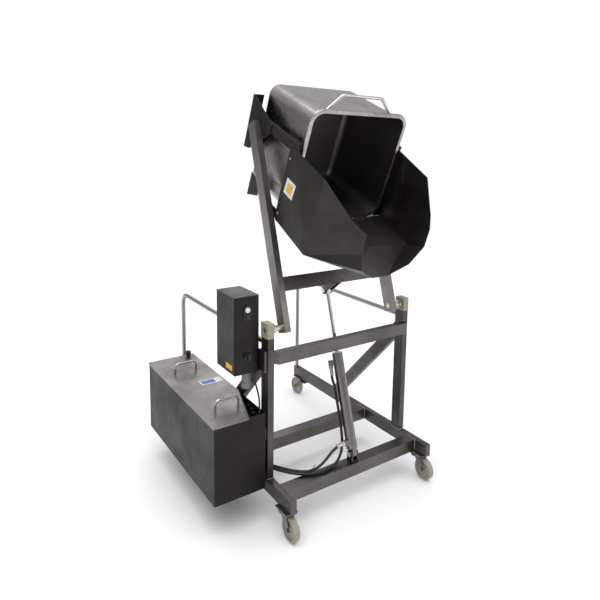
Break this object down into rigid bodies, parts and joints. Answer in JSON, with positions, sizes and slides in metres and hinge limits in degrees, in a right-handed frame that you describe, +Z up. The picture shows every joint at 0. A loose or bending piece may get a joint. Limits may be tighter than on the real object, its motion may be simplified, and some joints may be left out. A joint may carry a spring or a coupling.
{
  "type": "mobile hydraulic bin tipper",
  "caption": "Wheeled steel frame whose hydraulic arms lift a meat bin from the floor and tip it over a sheet-metal discharge chute.",
  "frame": {"origin": "middle of the overall footprint, on the floor, with the arms raised", "axes": "+Z up; +Y towards the loading side at the rear, where the bin stands on the floor; +X from the power unit side to the other"},
  "size_m": [1.2934, 1.6495, 2.2767],
  "materials": {
    "frame_steel": "brushed along the tube",
    "arm_steel": "brushed along the tube",
    "chute_steel": "satin sheet",
    "bin_steel": "polished outside, dull inside",
    "case_steel": "satin sheet",
    "lid_steel": "brushed sheet",
    "pin_steel": "turned",
    "rod_chrome": "hard chrome",
    "bearing_plastic": "machined",
    "black_plastic": "moulded",
    "grey_plastic": "moulded",
    "white_button": "moulded",
    "hose_rubber": "smooth cover",
    "wheel_tread": "moulded",
    "motor_paint": "enamel",
    "valve_alloy": "machined"
  },
  "bodies": {
    "frame": {"leg_left": "frame_steel", "leg_right": "frame_steel", "front_cross_tube": "frame_steel", "rear_cross_tube": "frame_steel", "post_left": "frame_steel", "post_right": "frame_steel", "top_bar": "frame_steel", "braces": "frame_steel", "guard_rails": "frame_steel", "bearing_blocks": "bearing_plastic", "block_screws": "pin_steel", "frame_end_caps": "frame_steel", "foot_bracket": "frame_steel", "foot_pin": "pin_steel", "caster_top_plates": "frame_steel", "unit_case": "case_steel", "unit_mounts": "frame_steel", "oil_tank": "motor_paint", "pump_motor": "motor_paint", "valve_block": "valve_alloy", "control_case": "case_steel", "control_bracket": "frame_steel", "button_bezel": "black_plastic", "control_socket": "grey_plastic", "control_cable": "hose_rubber"},
    "lid": {"unit_lid": "lid_steel", "lid_handles": "lid_steel"},
    "tipper": {"arm_left": "arm_steel", "arm_right": "arm_steel", "arm_end_caps": "arm_steel", "arm_cross_tube": "arm_steel", "rod_pin": "pin_steel", "pivot_pins": "pin_steel", "cradle_rails": "arm_steel", "guide_plates": "chute_steel", "chute": "chute_steel", "chute_bolts": "pin_steel", "bin_tub": "bin_steel", "bin_handles": "bin_steel"},
    "barrel": {"cylinder_barrel": "pin_steel", "cylinder_gland": "pin_steel", "hose_upper": "hose_rubber", "hose_lower": "hose_rubber"},
    "rod": {"piston_rod": "rod_chrome", "piston": "pin_steel"},
    "raise_button": {"button_raise": "white_button"},
    "lower_button": {"button_lower": "black_plastic"},
    "selector": {"selector_knob": "black_plastic"},
    "caster_front_left_swivel": {"caster_front_left_fork": "frame_steel"},
    "caster_front_left_roller": {"caster_front_left_wheel": "wheel_tread"},
    "caster_front_left_brake": {"caster_front_left_pedal": "black_plastic"},
    "caster_front_right_swivel": {"caster_front_right_fork": "frame_steel"},
    "caster_front_right_roller": {"caster_front_right_wheel": "wheel_tread"},
    "caster_front_right_brake": {"caster_front_right_pedal": "black_plastic"},
    "caster_rear_left_swivel": {"caster_rear_left_fork": "frame_steel"},
    "caster_rear_left_roller": {"caster_rear_left_wheel": "wheel_tread"},
    "caster_rear_left_brake": {"caster_rear_left_pedal": "black_plastic"},
    "caster_rear_right_swivel": {"caster_rear_right_fork": "frame_steel"},
    "caster_rear_right_roller": {"caster_rear_right_wheel": "wheel_tread"},
    "caster_rear_right_brake": {"caster_rear_right_pedal": "black_plastic"}
  },
  "joints": [
    {"name": "lid_lift", "type": "slide", "parent": "frame", "child": "lid", "axis": [0, 0, 1], "range_m": [0, 0.1]},
    {"name": "tip", "type": "hinge", "parent": "frame", "child": "tipper", "pos_m": [0.14525, -0.38175, 1.016], "axis": [1, 0, 0], "range_deg": [-113, 0]},
    {"name": "barrel_swing", "type": "hinge", "parent": "frame", "child": "barrel", "pos_m": [0.14525, -0.51875, 0.262], "axis": [1, 0, 0], "range_deg": [-0.78, 0]},
    {"name": "rod_stroke", "type": "slide", "parent": "barrel", "child": "rod", "axis": [0, 0.2967, 0.955], "range_m": [-0.2936, 0]},
    {"name": "raise_press", "type": "slide", "parent": "frame", "child": "raise_button", "axis": [0, 1, 0], "range_m": [0, 0.004], "stiffness_N_per_m": 400},
    {"name": "lower_press", "type": "slide", "parent": "frame", "child": "lower_button", "axis": [0, 1, 0], "range_m": [0, 0.004], "stiffness_N_per_m": 400},
    {"name": "selector_turn", "type": "hinge", "parent": "frame", "child": "selector", "pos_m": [-0.42625, -0.35475, 0.888], "axis": [0, 1, 0], "range_deg": [-45, 45]},
    {"name": "caster_front_left_turn", "type": "hinge", "parent": "frame", "child": "caster_front_left_swivel", "pos_m": [-0.32225, -0.58175, 0.129], "axis": [0, 0, 1], "continuous": true},
    {"name": "caster_front_left_roll", "type": "hinge", "parent": "caster_front_left_swivel", "child": "caster_front_left_roller", "pos_m": [-0.32225, -0.61975, 0.0625], "axis": [1, 0, 0], "continuous": true},
    {"name": "caster_front_left_press", "type": "hinge", "parent": "caster_front_left_swivel", "child": "caster_front_left_brake", "pos_m": [-0.32225, -0.54175, 0.123], "axis": [1, 0, 0], "range_deg": [-20, 0]},
    {"name": "caster_front_right_turn", "type": "hinge", "parent": "frame", "child": "caster_front_right_swivel", "pos_m": [0.61275, -0.58175, 0.129], "axis": [0, 0, 1], "continuous": true},
    {"name": "caster_front_right_roll", "type": "hinge", "parent": "caster_front_right_swivel", "child": "caster_front_right_roller", "pos_m": [0.61275, -0.61975, 0.0625], "axis": [1, 0, 0], "continuous": true},
    {"name": "caster_front_right_press", "type": "hinge", "parent": "caster_front_right_swivel", "child": "caster_front_right_brake", "pos_m": [0.61275, -0.54175, 0.123], "axis": [1, 0, 0], "range_deg": [-20, 0]},
    {"name": "caster_rear_left_turn", "type": "hinge", "parent": "frame", "child": "caster_rear_left_swivel", "pos_m": [-0.32225, 0.72425, 0.129], "axis": [0, 0, 1], "continuous": true},
    {"name": "caster_rear_left_roll", "type": "hinge", "parent": "caster_rear_left_swivel", "child": "caster_rear_left_roller", "pos_m": [-0.32225, 0.76225, 0.0625], "axis": [1, 0, 0], "continuous": true},
    {"name": "caster_rear_left_press", "type": "hinge", "parent": "caster_rear_left_swivel", "child": "caster_rear_left_brake", "pos_m": [-0.32225, 0.68425, 0.123], "axis": [1, 0, 0], "range_deg": [0, 20]},
    {"name": "caster_rear_right_turn", "type": "hinge", "parent": "frame", "child": "caster_rear_right_swivel", "pos_m": [0.61275, 0.72425, 0.129], "axis": [0, 0, 1], "continuous": true},
    {"name": "caster_rear_right_roll", "type": "hinge", "parent": "caster_rear_right_swivel", "child": "caster_rear_right_roller", "pos_m": [0.61275, 0.76225, 0.0625], "axis": [1, 0, 0], "continuous": true},
    {"name": "caster_rear_right_press", "type": "hinge", "parent": "caster_rear_right_swivel", "child": "caster_rear_right_brake", "pos_m": [0.61275, 0.68425, 0.123], "axis": [1, 0, 0], "range_deg": [0, 20]}
  ],
  "couplings": [
    {"joint": "barrel_swing", "follows": "tip", "ratio": 0.0067667},
    {"joint": "rod_stroke", "follows": "tip", "m_per_rad": 0.1486}
  ]
}
